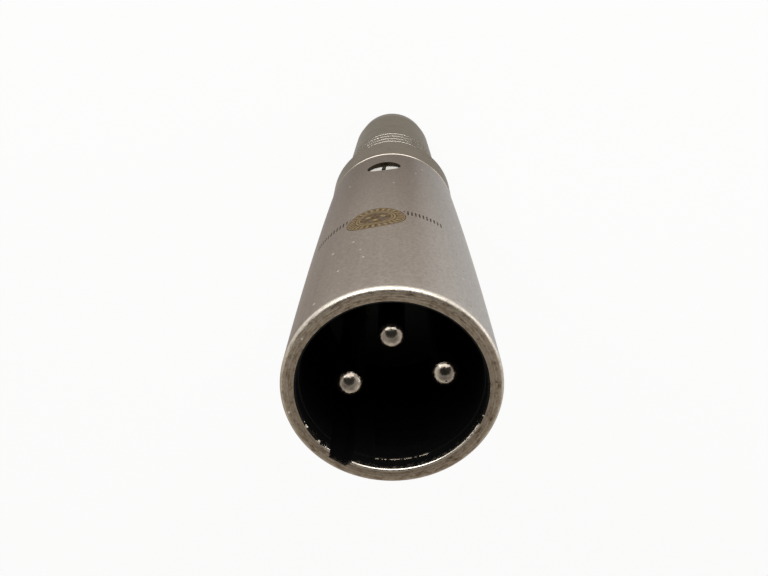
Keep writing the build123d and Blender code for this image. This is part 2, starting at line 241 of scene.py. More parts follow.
@dataclass(frozen=True)
class MetalFinish(Finish):
    """Plated or bare metal with mottled colour, uneven gloss and a fine grain."""

    tint: str = "A8A096"
    grain: float = 0.2
    grain_depth: float = 0.004
    mottle: float = 5.0
    gloss_swing: float = 0.05

    def build(self) -> Material:
        """Make the material.

        Returns:
            The new material.
        """
        material, tree, shader, place = self.start()
        mottle = add_node(
            tree, "ShaderNodeTexNoise", {"Vector": place, "Scale": per_metre(self.mottle), "Detail": 3.0}
        )
        colour = add_node(
            tree,
            "ShaderNodeValToRGB",
            {0: mottle.outputs[0]},
            stops=[(0.35, linear(self.colour)), (0.65, linear(self.tint))],
        )
        grain = add_node(
            tree, "ShaderNodeTexNoise", {"Vector": place, "Scale": per_metre(self.grain), "Detail": 2.0}
        )
        self.roughen(tree, shader, grain.outputs[0], self.gloss_swing, self.grain_depth)
        shader.inputs["Metallic"].default_value = 1.0
        tree.links.new(colour.outputs[0], shader.inputs["Base Color"])
        return material


@dataclass(frozen=True)
class TurnedFinish(Finish):
    """Plated turned metal, with the lathe's fine rings showing through the plate and paler grip grooves,
    their polished face with a painted highlight.
    """

    tint: str = "8C857C"
    edge: str = "A09D97"
    # Tone of the grooves: their polished face with a painted highlight
    groove_polish_and_highlight: str = "D6CFC4"
    ring_pitch: float = 0.14
    ring_depth: float = 0.003
    mottle: float = 1.6
    gloss_swing: float = 0.06
    groove_first: float = 18.0
    groove_pitch: float = 1.75
    groove_width: float = 0.6
    groove_count: int = 4

    def build(self) -> Material:
        """Make the material.

        Returns:
            The new material.
        """
        material, tree, shader, place = self.start()
        x, y, z = add_node(tree, "ShaderNodeSeparateXYZ", {0: place}).outputs
        flat = add_node(tree, "ShaderNodeCombineXYZ", {0: x, 1: y})
        radius = add_node(tree, "ShaderNodeVectorMath", {0: flat.outputs[0]}, operation="LENGTH")
        # Radius and height alone drive the rings, so they run round the barrel and its end face
        turned = add_node(tree, "ShaderNodeCombineXYZ", {0: radius.outputs["Value"], 2: z})
        rings = add_node(
            tree,
            "ShaderNodeTexNoise",
            {"Vector": turned.outputs[0], "Scale": per_metre(self.ring_pitch), "Detail": 2.0},
        )
        mottle = add_node(
            tree, "ShaderNodeTexNoise", {"Vector": place, "Scale": per_metre(self.mottle), "Detail": 4.0}
        )
        plate = add_node(
            tree,
            "ShaderNodeValToRGB",
            {0: mottle.outputs[0]},
            stops=[(0.3, linear(self.colour)), (0.7, linear(self.tint))],
        )
        # The grip grooves are paler, partly the bright face that the tool left and partly a painted
        # highlight: a repeat in height, kept to their band
        start = (self.groove_first - self.groove_width / 2) * MM
        height = add_node(tree, "ShaderNodeMath", {0: z, 1: start}, operation="SUBTRACT").outputs[0]
        groove = stripes(tree, height, self.groove_pitch * MM, self.groove_width / self.groove_pitch)
        reach = self.groove_count * self.groove_pitch / 2 * MM
        band = add_node(tree, "ShaderNodeMath", {0: z, 1: start + reach, 2: reach}, operation="COMPARE")
        for name, dull in (("Base Color", plate.outputs[0]), ("Specular Tint", linear(self.edge))):
            tone = paint(tree, dull, [((groove, band.outputs[0]), linear(self.groove_polish_and_highlight))])
            tree.links.new(tone, shader.inputs[name])
        self.roughen(tree, shader, rings.outputs[0], self.gloss_swing, self.ring_depth)
        shader.inputs["Metallic"].default_value = 1.0
        return material


@dataclass(frozen=True)
class PinFinish(MetalFinish):
    """Bright plated contact pin, scuffed by plugs, with one small pit in a tip and painted shade towards its
    root.
    """

    pit_place: tuple[float, float, float] = (-4.65, 0.38, 79.70)
    pit_radius: float = 0.12
    pit_tone: str = "1C150E"
    root_height: float = 65.4
    root_length: float = 8.0
    # Painted shade towards the pin's root
    root_painted_shade: str = "1E1A16"

    def build(self) -> Material:
        """Make the material.

        Returns:
            The new material.
        """
        material = super().build()
        tree = material.node_tree
        shader = next(node for node in tree.nodes if node.type == "BSDF_PRINCIPLED")
        plate = shader.inputs["Base Color"].links[0].from_socket
        place = add_node(tree, "ShaderNodeTexCoord").outputs["Object"]
        axes = add_node(tree, "ShaderNodeSeparateXYZ", {0: place})
        middle = tuple(size * MM for size in self.pit_place)
        away = add_node(tree, "ShaderNodeVectorMath", {0: place, 1: middle}, operation="DISTANCE")
        root_end = self.root_height + self.root_length
        # The pit has a soft edge, and painted shade darkens the plate towards the root, deep in the mouth
        pit, root = [
            add_node(
                tree, "ShaderNodeMapRange", {0: value, 1: full * MM, 2: clear * MM, 3: 1.0, 4: 0.0}
            ).outputs[0]
            for value, full, clear in (
                (away.outputs["Value"], 0.6 * self.pit_radius, self.pit_radius),
                (axes.outputs[2], self.root_height, root_end),
            )
        ]
        colour = paint(tree, plate, [((pit,), linear(self.pit_tone)), ((root,), linear(self.root_painted_shade))])
        tree.links.new(colour, shader.inputs["Base Color"])
        return material


@dataclass(frozen=True)
class ShellFinish(Finish):
    """Satin nickel on the cast shell, with the etched marks, the wear of its rim and some painted light and
    shade.

    A fade is the pair of places along an axis between which a tone grows or dies away, and depths
    are such a pair measured down from the rim.
    """

    tint: str = "958C81"
    edge: str = "A6A2A0"
    etch: str = "645440"
    etch_line: str = "A18E6C"
    ink: str = "41362A"
    # Painted light on the flank towards -x
    pale: str = "D6D4D0"
    pale_fade: tuple[float, float] = (-8.5, -3.0)
    # Painted shade towards the jack end
    shaded: str = "7F776E"
    shaded_fade: tuple[float, float] = (38.0, 60.0)
    wear: str = "54422F"
    faced: str = "BCAF9D"
    faced_depths: tuple[float, float] = (0.2, 0.03)
    # Paler outer edge: rubbed bright, with a painted highlight
    burnish_and_highlight: str = "D8D0C4"
    burnish_and_highlight_fade: tuple[float, float] = (-7.5, -3.0)
    burnish_and_highlight_depths: tuple[float, float] = (0.52, 0.32)
    burnish_and_highlight_width: float = 0.12
    speck: str = "F4EFE6"
    radius: float = 9.0
    rim_height: float = 80.9
    rim_radius: float = 9.5
    edge_round: float = 0.4
    # How much darker the rim grows towards the back
    rim_back_darkening: float = 0.3
    back_darkening_fade: tuple[float, float] = (-9.0, 9.0)
    badge_angle: float = 3.5
    badge_height: float = 62.6
    badge_radius: float = 2.95
    # Share of the badge's radius and half the line's width
    badge_rings: tuple[tuple[float, float], ...] = ((1.0, 0.1), (0.66, 0.08), (0.56, 0.06))
    badge_dots: tuple[tuple[float, float], ...] = ((-0.75, -0.35), (0.75, -0.35), (0.0, 0.7))
    dot_radius: float = 0.28
    badge_teeth: int = 26
    tooth_share: float = 0.45
    border_share: float = 0.84
    border_half: float = 0.3
    clear_share: float = 1.12
    scale_height: float = 61.2
    scale_pitch: float = 0.4
    scale_length: float = 1.2
    scale_angles: tuple[float, float] = (-42.0, 51.0)
    tick_share: float = 0.42
    grain: float = 0.16
    grain_depth: float = 0.004
    pebble: float = 0.3
    band_width: float = 2.4
    ring_pitch: float = 0.22
    patch_size: float = 0.35
    burn_size: float = 0.3
    nib_spacing: float = 2.6
    pit_spacing: float = 1.3

    def draw_marks(self, tree: NodeTree, axes: list[NodeSocket]) -> list[NodeSocket]:
        """Work out where the marks are etched.

        The badge is a socket seen from the front: a toothed ring with three dots. The scale is a
        row of plain ticks on both sides of it.

        Args:
            tree: The material's tree.
            axes: Sockets of a point's x, y and z.

        Returns:
            The socket of the etched lines and that of the toned ground of the badge.
        """
        x, y, z = axes
        behind = add_node(tree, "ShaderNodeMath", {0: y, 1: -1.0}, operation="MULTIPLY").outputs[0]
        angle = add_node(tree, "ShaderNodeMath", {0: x, 1: behind}, operation="ARCTAN2").outputs[0]
        across = add_node(
            tree,
            "ShaderNodeMath",
            {0: angle, 1: self.radius * MM, 2: -radians(self.badge_angle) * self.radius * MM},
            operation="MULTIPLY_ADD",
        ).outputs[0]
        along = add_node(
            tree, "ShaderNodeMath", {0: z, 1: self.badge_height * MM}, operation="SUBTRACT"
        ).outputs[0]
        spot = add_node(tree, "ShaderNodeCombineXYZ", {0: across, 1: along}).outputs[0]
        reach = add_node(tree, "ShaderNodeVectorMath", {0: spot}, operation="LENGTH").outputs["Value"]
        size = self.badge_radius * MM
        lines = []
        for share, half in self.badge_rings:
            ring = {0: reach, 1: share * size, 2: half * MM}
            lines.append(add_node(tree, "ShaderNodeMath", ring, operation="COMPARE").outputs[0])
        for dot_across, dot_along in self.badge_dots:
            middle = (dot_across * MM, dot_along * MM, 0.0)
            gap = add_node(tree, "ShaderNodeVectorMath", {0: spot, 1: middle}, operation="DISTANCE")
            dot = {0: gap.outputs["Value"], 1: self.dot_radius * MM}
            lines.append(add_node(tree, "ShaderNodeMath", dot, operation="LESS_THAN").outputs[0])
        turn = add_node(tree, "ShaderNodeMath", {0: along, 1: across}, operation="ARCTAN2")
        teeth = stripes(tree, turn.outputs[0], 2 * pi / self.badge_teeth, self.tooth_share)
        ticks = stripes(tree, angle, self.scale_pitch / self.radius, self.tick_share)
        first, last = self.scale_angles
        border, along_band, round_band = [
            add_node(tree, "ShaderNodeMath", {0: value, 1: middle, 2: half}, operation="COMPARE").outputs[0]
            for value, middle, half in (
                (reach, self.border_share * size, self.border_half * MM),
                (z, self.scale_height * MM, self.scale_length / 2 * MM),
                (angle, radians((first + last) / 2), radians((last - first) / 2)),
            )
        ]
        clear = add_node(
            tree, "ShaderNodeMath", {0: reach, 1: self.clear_share * size}, operation="GREATER_THAN"
        ).outputs[0]
        # Teeth keep to the badge's border, and ticks to their band, clear of the badge
        for mark, *masks in ((teeth, border), (ticks, along_band, round_band, clear)):
            for mask in masks:
                mark = add_node(tree, "ShaderNodeMath", {0: mark, 1: mask}, operation="MULTIPLY").outputs[0]
            lines.append(mark)
        marks = lines[0]
        for line in lines[1:]:
            marks = add_node(tree, "ShaderNodeMath", {0: marks, 1: line}, operation="MAXIMUM").outputs[0]
        ground = add_node(tree, "ShaderNodeMath", {0: reach, 1: size}, operation="LESS_THAN").outputs[0]
        # The front of the shell alone is marked, not the bore behind it
        front = add_node(tree, "ShaderNodeMath", {0: behind, 1: 0.0}, operation="GREATER_THAN").outputs[0]
        return [
            add_node(tree, "ShaderNodeMath", {0: mark, 1: front}, operation="MULTIPLY").outputs[0]
            for mark in (marks, ground)
        ]

    def build(self) -> Material:
        """Make the material.

        Returns:
            The new material.
        """
        material, tree, shader, place = self.start()
        x, y, z = add_node(tree, "ShaderNodeSeparateXYZ", {0: place}).outputs
        flat = add_node(tree, "ShaderNodeCombineXYZ", {0: x, 1: y})
        radius = add_node(tree, "ShaderNodeVectorMath", {0: flat.outputs[0]}, operation="LENGTH")
        radius = radius.outputs["Value"]
        outer = self.rim_radius - self.edge_round
        faced, burnish_and_highlight = [
            [self.rim_height - depth for depth in depths]
            for depths in (self.faced_depths, self.burnish_and_highlight_depths)
        ]
        # Each fade: what it follows, its two ends in millimetres and its value at each
        painted_low_shade, lit_flank, rim, outside, near, front, back_darkening = [
            add_node(
                tree, "ShaderNodeMapRange", {0: value, 1: low * MM, 2: high * MM, 3: start, 4: end}
            ).outputs[0]
            for value, low, high, start, end in (
                (z, *self.shaded_fade, 0.6, 0.0),
                (x, *self.pale_fade, 0.9, 0.0),
                (z, *faced, 0.0, 1.0),
                (radius, outer, outer + self.burnish_and_highlight_width, 0.0, 1.0),
                (z, *burnish_and_highlight, 0.0, 1.0),
                (y, *self.burnish_and_highlight_fade, 1.0, 0.15),
                (y, *self.back_darkening_fade, 0.0, self.rim_back_darkening),
            )
        ]
        # Scuffs are drawn out three times round the rim
        heading = add_node(tree, "ShaderNodeVectorMath", {0: flat.outputs[0]}, operation="NORMALIZE")
        heading = add_node(
            tree,
            "ShaderNodeVectorMath",
            {0: heading.outputs[0], "Scale": self.rim_radius / 3 * MM},
            operation="SCALE",
        )
        inward = add_node(tree, "ShaderNodeCombineXYZ", {2: radius})
        round_rim = add_node(
            tree, "ShaderNodeVectorMath", {0: heading.outputs[0], 1: inward.outputs[0]}, operation="ADD"
        ).outputs[0]
        # Soft bands run the length of the shell, where it was polished before plating
        drawn = add_node(tree, "ShaderNodeMapping", {"Vector": place, "Scale": (1.0, 1.0, 0.05)})
        # Turned rings on the rim depend on the radius alone
        turned = add_node(tree, "ShaderNodeCombineXYZ", {0: radius}).outputs[0]
        # Each noise: where it is read, the size of its features, its detail and its roughness
        bands, patch, pebble, rings, burn, grain = [
            add_node(
                tree,
                "ShaderNodeTexNoise",
                {"Vector": where, "Scale": per_metre(size), "Detail": detail, "Roughness": rough},
            ).outputs[0]
            for where, size, detail, rough in (
                (drawn.outputs[0], self.band_width, 4.0, 0.55),
                (round_rim, self.patch_size, 7.0, 0.75),
                (place, self.pebble, 2.0, 0.5),
                (turned, self.ring_pitch, 2.0, 0.5),
                (place, self.burn_size, 2.0, 0.5),
                (place, self.grain, 3.0, 0.5),
            )
        ]
        nibs, pits = [
            add_node(tree, "ShaderNodeTexVoronoi", {"Vector": place, "Scale": per_metre(size)}).outputs[0]
            for size in (self.nib_spacing, self.pit_spacing)
        ]
        # Each mask: its pattern, the two levels between which it changes and its value at each
        patch, pebble, polish, burn, nib, pit, gloss = [
            add_node(tree, "ShaderNodeMapRange", {0: value, 1: low, 2: high, 3: start, 4: end}).outputs[0]
            for value, low, high, start, end in (
                (patch, 0.47, 0.66, 0.0, 0.9),
                (pebble, NOISE_LOW, NOISE_HIGH, 0.88, 1.12),
                (rings, 0.38, 0.6, 0.4, 0.0),
                (burn, 0.25, 0.6, 0.55, 1.0),
                (nibs, 0.04, 0.07, 0.9, 0.0),
                (pits, 0.06, 0.11, 0.6, 0.0),
                (grain, NOISE_LOW, NOISE_HIGH, self.roughness - 0.05, self.roughness + 0.06),
            )
        ]
        worn, ridges = [
            add_node(tree, "ShaderNodeMath", {0: mask, 1: rim}, operation="MULTIPLY").outputs[0]
            for mask in (patch, rings)
        ]
        marks, ground = self.draw_marks(tree, [x, y, z])
        # The etch is uneven, as a laser leaves it
        inked = add_node(tree, "ShaderNodeMath", {0: marks, 1: ground}, operation="MAXIMUM").outputs[0]
        inked = add_node(tree, "ShaderNodeMath", {0: inked, 1: burn}, operation="MULTIPLY").outputs[0]
        tone = paint(tree, linear(self.ink), [((ground,), linear(self.etch))])
        plate = add_node(
            tree,
            "ShaderNodeValToRGB",
            {0: bands},
            stops=[(0.3, linear(self.colour)), (0.7, linear(self.tint))],
        ).outputs[0]
        colour = paint(
            tree,
            plate,
            [
                # Painted shade: duller and darker towards the jack end
                ((painted_low_shade,), linear(self.shaded)),
                # Painted light: paler and cooler towards one flank
                ((lit_flank,), linear(self.pale)),
                # The faced rim is paler and brassier than the side
                ((rim,), linear(self.faced)),
                # Its outer edge is paler, partly rubbed bright and partly a painted highlight, strongest at
                # the front
                ((outside, near, front), linear(self.burnish_and_highlight)),
                # Patches of it are scuffed through to dark brass
                ((worn,), linear(self.wear)),
            ],
        )
        # The pebbled casting reads as a fine mottle through the plate
        pebbled = add_node(tree, "ShaderNodeVectorMath", {0: colour, "Scale": pebble}, operation="SCALE")
        colour = paint(
            tree,
            pebbled.outputs[0],
            [
                # Turned rings on the faced rim hold dark polish, and the rim grows darker towards the back
                ((polish, rim), linear(self.wear)),
                ((back_darkening, rim), linear(self.wear)),
                # A few pale nibs of plate stand on the surface, and dark pits show on the flank painted
                # lighter
                ((nib,), linear(self.speck)),
                ((pit, lit_flank), linear(self.ink)),
                # Inside the badge the lines are paler than their ground, as bare brass shows
                ((inked,), tone),
                ((marks, ground, burn), linear(self.etch_line)),
            ],
        )
        # The faced rim has ridges and nicks, coarser than the fine grain of the cast metal
        height = grain
        for mask, rise in ((ridges, 6.0), (worn, -4.0), (inked, -3.0)):
            height = add_node(
                tree, "ShaderNodeMath", {0: mask, 1: rise, 2: height}, operation="MULTIPLY_ADD"
            ).outputs[0]
        rough = add_node(tree, "ShaderNodeMath", {0: inked, 1: 0.2, 2: gloss}, operation="MULTIPLY_ADD")
        bump = add_node(
            tree, "ShaderNodeBump", {"Height": height, "Strength": 1.0, "Distance": self.grain_depth * MM}
        )
        shader.inputs["Metallic"].default_value = 1.0
        shader.inputs["Specular Tint"].default_value = linear(self.edge)
        tree.links.new(colour, shader.inputs["Base Color"])
        tree.links.new(rough.outputs[0], shader.inputs["Roughness"])
        tree.links.new(bump.outputs[0], shader.inputs["Normal"])
        return material


@dataclass(frozen=True)
class BoreFinish(Finish):
    """Black lacquer inside the mouth, chipped to bare metal along its edges."""

    metal: str = "D9D1C3"
    rim_height: float = 80.9
    edge_depth: float = 0.36
    edge_waver: float = 14.0
    edge_start: float = 11.6
    step_depth: float = 1.5
    step_half: float = 0.04
    step_start: float = 7.7
    chip: float = 0.5
    grain: float = 0.3
    grain_depth: float = 0.014
    gloss_swing: float = 0.08
    metal_gloss: float = 0.32
    specular: float = 0.12

    def build(self) -> Material:
        """Make the material.

        Returns:
            The new material.
        """
        material, tree, shader, place = self.start()
        y, z = add_node(tree, "ShaderNodeSeparateXYZ", {0: place}).outputs[1:]
        ragged = add_node(
            tree,
            "ShaderNodeTexNoise",
            {"Vector": place, "Scale": per_metre(self.chip), "Detail": 5.0, "Roughness": 0.7},
        ).outputs[0]
        # Bare metal reaches down from the rim by an uneven amount, and round it to an uneven end
        lowered = add_node(
            tree, "ShaderNodeMapRange", {0: ragged, 1: 0.4, 2: 0.7, 3: 0.0, 4: 2.0 * self.edge_depth * MM}
        )
        level = add_node(tree, "ShaderNodeMath", {0: z, 1: lowered.outputs[0]}, operation="ADD")
        reached = add_node(
            tree, "ShaderNodeMath", {0: ragged, 1: self.edge_waver * MM, 2: y}, operation="MULTIPLY_ADD"
        )
        # Each mask shows where its value passes its limit
        high, edge_side, rubbed, step_side = [
            add_node(tree, "ShaderNodeMath", {0: value, 1: limit}, operation="GREATER_THAN").outputs[0]
            for value, limit in (
                (level.outputs[0], (self.rim_height - self.edge_depth / 2) * MM),
                (reached.outputs[0], self.edge_start * MM),
                (ragged, 0.48),
                (y, self.step_start * MM),
            )
        ]
        step = add_node(
            tree,
            "ShaderNodeMath",
            {0: z, 1: (self.rim_height - self.step_depth) * MM, 2: self.step_half * MM},
            operation="COMPARE",
        ).outputs[0]
        # The rim's edge is bare, and the step below the lead-in has lost its lacquer here and there
        bare = []
        for mask, *limits in ((high, edge_side), (step, rubbed, step_side)):
            for limit in limits:
                mask = add_node(tree, "ShaderNodeMath", {0: mask, 1: limit}, operation="MULTIPLY").outputs[0]
            bare.append(mask)
        shown = add_node(tree, "ShaderNodeMath", {0: bare[0], 1: bare[1]}, operation="MAXIMUM").outputs[0]
        colour = paint(tree, linear(self.colour), [((shown,), linear(self.metal))])
        grain = add_node(
            tree, "ShaderNodeTexNoise", {"Vector": place, "Scale": per_metre(self.grain), "Detail": 3.0}
        )
        gloss = self.roughen(tree, shader, grain.outputs[0], self.gloss_swing, self.grain_depth)
        # Bare metal is glossier than the lacquer
        gloss = add_node(
            tree, "ShaderNodeMath", {0: shown, 1: -self.metal_gloss, 2: gloss}, operation="MULTIPLY_ADD"
        )
        shader.inputs["Specular IOR Level"].default_value = self.specular
        tree.links.new(colour, shader.inputs["Base Color"])
        tree.links.new(shown, shader.inputs["Metallic"])
        tree.links.new(gloss.outputs[0], shader.inputs["Roughness"])
        return material


@dataclass(frozen=True)
class MouldedFinish(Finish):
    """Moulded plastic with a fine spark-eroded grain."""

    grain: float = 0.15
    grain_depth: float = 0.006
    grain_share: float = 0.6
    gloss_swing: float = 0.06

    def build(self) -> Material:
        """Make the material.

        Returns:
            The new material.
        """
        material, tree, shader, place = self.start()
        grain = add_node(
            tree, "ShaderNodeTexNoise", {"Vector": place, "Scale": per_metre(self.grain), "Detail": 2.0}
        )
        self.roughen(tree, shader, grain.outputs[0], self.gloss_swing, self.grain_depth, self.grain_share)
        return material


# Satin nickel plate on cast zinc: warm grey-brown, soft highlights, pebbled grain
CAST_NICKEL = ShellFinish("cast_satin_nickel", "A4998F", 0.36, tint="ADA399")
# Black lacquer in the cast mouth: swallows the light, with a faint sheen
BLACK_LACQUER = BoreFinish("black_lacquered_bore", "030303", 0.6)
# Satin nickel plate on turned brass: the same grey, a little sleeker, with lathe rings
TURNED_NICKEL = TurnedFinish("turned_satin_nickel", "9C948A", 0.32, tint="A49C91")
# Zinc-plated steel: paler and brighter than the nickel round it
SCREW_STEEL = MetalFinish("zinc_plated_steel", "D2CEC6", 0.18, tint="C4C0B8")
# Bright nickel on brass pins: glossy, with the marks of plugs on the tips
PIN_NICKEL = PinFinish(
    "bright_nickel_pins", "7C7268", 0.17, tint="A69E92", grain=0.3, grain_depth=0.02, mottle=0.7
)
# Painted shade: dark nickel on the wall of the screw's sink, where shadow falls
SINK_PAINTED_SHADE = MetalFinish("nickel_painted_sink_shade", "3E362C", 0.5, tint="2C261E", mottle=0.6)
# Phosphor bronze: warm brown springs, half gloss
SPRING_BRONZE = MetalFinish("phosphor_bronze", "B5895A", 0.32, tint="A87C50")
# Tinned brass: dull silver with a yellow cast
TINNED_BRASS = MetalFinish("tinned_brass", "B9B6A8", 0.35, tint="AFAB9A")
# Bare copper strands: salmon, fairly bright
COPPER = MetalFinish("bare_copper", "B8704E", 0.3, tint="A96646")
# Solder: grey with a frosted skin
SOLDER = MetalFinish("solder", "A9A9A6", 0.36, tint="9C9C99")
# Glass-filled PBT: deep black, dull
BLACK_PBT = MouldedFinish("black_moulded_plastic", "040405", 0.6)
# ABS of the contact carrier: near black with a slight sheen
CARRIER_PLASTIC = MouldedFinish("carrier_moulded_plastic", "16161A", 0.48)
# PVC insulation in three colours: smooth and half gloss
RED_JACKET = MouldedFinish("red_wire_jacket", "A32420", 0.45)
WHITE_JACKET = MouldedFinish("white_wire_jacket", "DAD7CE", 0.45)
BLACK_JACKET = MouldedFinish("black_wire_jacket", "151515", 0.45)

NODE_FINISHES: dict[str, Finish] = {
    "shell": CAST_NICKEL,
    "jack_body": TURNED_NICKEL,
    "retaining_screw": SCREW_STEEL,
    "pin_insulator": BLACK_PBT,
    "pin_1": PIN_NICKEL,
    "pin_2": PIN_NICKEL,
    "pin_3": PIN_NICKEL,
    "ground_clip": TINNED_BRASS,
    "insulating_sleeve": BLACK_PBT,
    "contact_carrier": CARRIER_PLASTIC,
    "carrier_cap": CARRIER_PLASTIC,
    "sleeve_lug": TINNED_BRASS,
    "retaining_ring": SCREW_STEEL,
    "tip_spring": SPRING_BRONZE,
    "ring_spring": SPRING_BRONZE,
    "tip_wire_core": COPPER,
    "ring_wire_core": COPPER,
    "sleeve_wire_core": COPPER,
    "tip_wire_jacket": RED_JACKET,
    "ring_wire_jacket": WHITE_JACKET,
    "sleeve_wire_jacket": BLACK_JACKET,
    "cup_solder": SOLDER,
}

SHELL_FINISHES: dict[Zone, Finish] = {
    Zone.PLATE: CAST_NICKEL,
    Zone.LACQUER: BLACK_LACQUER,
    Zone.GRIME: SINK_PAINTED_SHADE,
}


@dataclass
class CastShell:
    """The cast shell, with its rounded rim, keyway, latch recess and sunk screw hole."""

    base: float = 35.3
    rear_chamfer: float = 0.2
    rear_bore: float = 7.3
    rear_radius: float = 8.1
    mouth_height: float = 80.9
    mouth_radius: float = 9.5
    side_bow: float = 0.55
    outer_round: float = 0.4
    inner_round: float = 0.2
    lead_in_radius: float = 8.1
    lead_in_depth: float = 1.5
    lead_in_slope: float = 0.05
    bore_radius: float = 8.0
    face_height: float = 65.4
    lip_radius: float = 6.9
    flange_top: float = 63.8
    keyway_angle: float = 49.5
    keyway_width: float = 2.3
    keyway_floor: float = 1.7
    keyway_reach: float = 8.7
    keyway_length: float = 12.0
    recess_width: float = 4.9
    recess_height: float = 3.2
    recess_top: float = 3.4
    recess_depth: float = 0.5
    recess_start: float = 4.0
    screw_height: float = 41.8
    screw_radius: float = 1.3
    sink_radius: float = 2.05
    sink_recess: float = 0.5
    sink_angle: float = 120.0
    sink_reach: float = 2.2
    cut_beyond: float = 2.0
    smooth_angle: float = 30.0
    segments: int = 192
    screw_segments: int = 64
    side_steps: int = 24
    outer_steps: int = 8
    inner_steps: int = 4
    # How far off a wall, a level face and the rim a face may lie and still count as theirs
    wall_slack: float = 0.05
    level_slack: float = 0.01
    rim_slack: float = 0.005

    def side(self, height: float) -> float:
        """Work out the bowed side.

        Args:
            height: Height in millimetres.

        Returns:
            Outer radius at that height in millimetres.
        """
        top = self.mouth_height - self.outer_round
        share = (top - height) / (top - self.base)
        taper = self.mouth_radius - self.rear_radius
        return self.mouth_radius - taper * ((1 - self.side_bow) * share + self.side_bow * share**2)

    def profile(self) -> list[tuple[float, float]]:
        """Work out the shell's outline.

        Returns:
            Radius and height of each ring, up the outside and back down the bore.
        """
        rings = [(self.rear_bore, self.base), (self.rear_radius - self.rear_chamfer, self.base)]
        side_base = self.base + self.rear_chamfer
        top = self.mouth_height - self.outer_round
        for step in range(self.side_steps + 1):
            height = side_base + (top - side_base) * step / self.side_steps
            rings.append((self.side(height), height))
        for step in range(1, self.outer_steps + 1):
            turn = radians(90 * step / self.outer_steps)
            inset = self.outer_round * (1 - cos(turn))
            rings.append((self.mouth_radius - inset, top + self.outer_round * sin(turn)))
        for step in range(self.inner_steps + 1):
            turn = radians(90 * step / self.inner_steps)
            inset = self.inner_round * (1 - sin(turn))
            drop = self.inner_round * (1 - cos(turn))
            rings.append((self.lead_in_radius + inset, self.mouth_height - drop))
        step_height = self.mouth_height - self.lead_in_depth
        rings += [
            (self.lead_in_radius, step_height),
            (self.bore_radius, step_height - self.lead_in_slope),
            (self.bore_radius, self.face_height),
            (self.lip_radius, self.face_height),
            (self.lip_radius, self.flange_top),
            (self.rear_bore, self.flange_top),
            (self.rear_bore, self.base),
        ]
        return rings

    def build(self) -> Object:
        """Make the shell, dress it and let it stand for its CAD node.

        Returns:
            The shell.
        """
        shell = raise_rings("cast_shell", self.profile(), self.segments)
        mend()
        for cutter in (self.keyway_cutter(), self.recess_cutter(), self.screw_cutter()):
            cut_away(shell, cutter)
        pick(shell)
        shell.data.materials.clear()
        for finish in SHELL_FINISHES.values():
            shell.data.materials.append(finish.material())
        for face in shell.data.polygons:
            face.material_index = self.zone(face.center).value
        bpy.ops.object.shade_smooth_by_angle(angle=radians(self.smooth_angle))
        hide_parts("shell")
        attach(shell, Body.ADAPTER.value)
        return shell

    def zone(self, spot: Vector) -> Zone:
        """Tell which part of the surface a face belongs to.

        Args:
            spot: Middle of the face.

        Returns:
            The part of the surface.
        """
        # The sink's wall takes painted shade
        if self.is_sink(spot):
            return Zone.GRIME
        return Zone.LACQUER if self.is_bore(spot) else Zone.PLATE

    def is_bore(self, spot: Vector) -> bool:
        """Tell whether a face belongs to the lacquered inside.

        Args:
            spot: Middle of the face.

        Returns:
            True if it does.
        """
        radius, height = spot.xy.length / MM, spot.z / MM
        if height > self.face_height - self.level_slack:
            below_rim = height < self.mouth_height - self.rim_slack
            return below_rim and radius < self.keyway_reach + self.wall_slack
        return radius < self.rear_bore + self.wall_slack and height > self.base + self.level_slack

    def is_sink(self, spot: Vector) -> bool:
        """Tell whether a face belongs to the wall of the sunk screw hole.

        Args:
            spot: Middle of the face.

        Returns:
            True if it does.
        """
        radius, height = spot.xy.length / MM, spot.z / MM
        in_wall = self.rear_bore + self.level_slack < radius < self.side(height) - self.level_slack
        aside = hypot(spot.x / MM, height - self.screw_height)
        return spot.y < 0 and in_wall and aside < self.sink_reach

    def keyway_cutter(self) -> Object:
        """Make the block that cuts the keyway, narrower at its floor.

        Returns:
            The block.
        """
        inner = self.bore_radius / 2
        slope = (self.keyway_width - self.keyway_floor) / 2 / (self.keyway_reach - self.bore_radius)
        open_width = self.keyway_width + 2 * slope * inner
        depth = self.keyway_reach - inner
        bpy.ops.object.select_all(action="DESELECT")
        bpy.ops.mesh.primitive_cube_add(size=1.0)
        cutter = bpy.context.object
        cutter.scale = (depth * MM, self.keyway_floor * MM, 2 * self.keyway_length * MM)
        bpy.ops.object.transform_apply(location=False, rotation=False, scale=True)
        widen(cutter, -1.0, open_width / self.keyway_floor)
        turn = radians(self.keyway_angle)
        middle = (inner + self.keyway_reach) / 2
        cutter.rotation_euler = (0, 0, turn)
        cutter.location = (middle * cos(turn) * MM, middle * sin(turn) * MM, self.mouth_height * MM)
        bpy.ops.object.transform_apply(location=True, rotation=True, scale=False)
        return cutter

    def recess_cutter(self) -> Object:
        """Make the slice of a disc that cuts the latch recess.

        Returns:
            The slice.
        """
        bpy.ops.object.select_all(action="DESELECT")
        bpy.ops.mesh.primitive_cylinder_add(
            vertices=self.segments,
            radius=(self.bore_radius + self.recess_depth) * MM,
            depth=self.recess_height * MM,
            location=(0, 0, (self.mouth_height - self.recess_top - self.recess_height / 2) * MM),
        )
        cutter = bpy.context.object
        bpy.ops.object.transform_apply(location=True, rotation=False, scale=False)
        bpy.ops.object.mode_set(mode="EDIT")
        half = self.recess_width / 2 * MM
        sides = (
            ((half, 0, 0), (1, 0, 0)),
            ((-half, 0, 0), (-1, 0, 0)),
            ((0, self.recess_start * MM, 0), (0, -1, 0)),
        )
        for spot, normal in sides:
            bpy.ops.mesh.select_all(action="SELECT")
            bpy.ops.mesh.bisect(plane_co=spot, plane_no=normal, use_fill=True, clear_outer=True)
        bpy.ops.object.mode_set(mode="OBJECT")
        return cutter

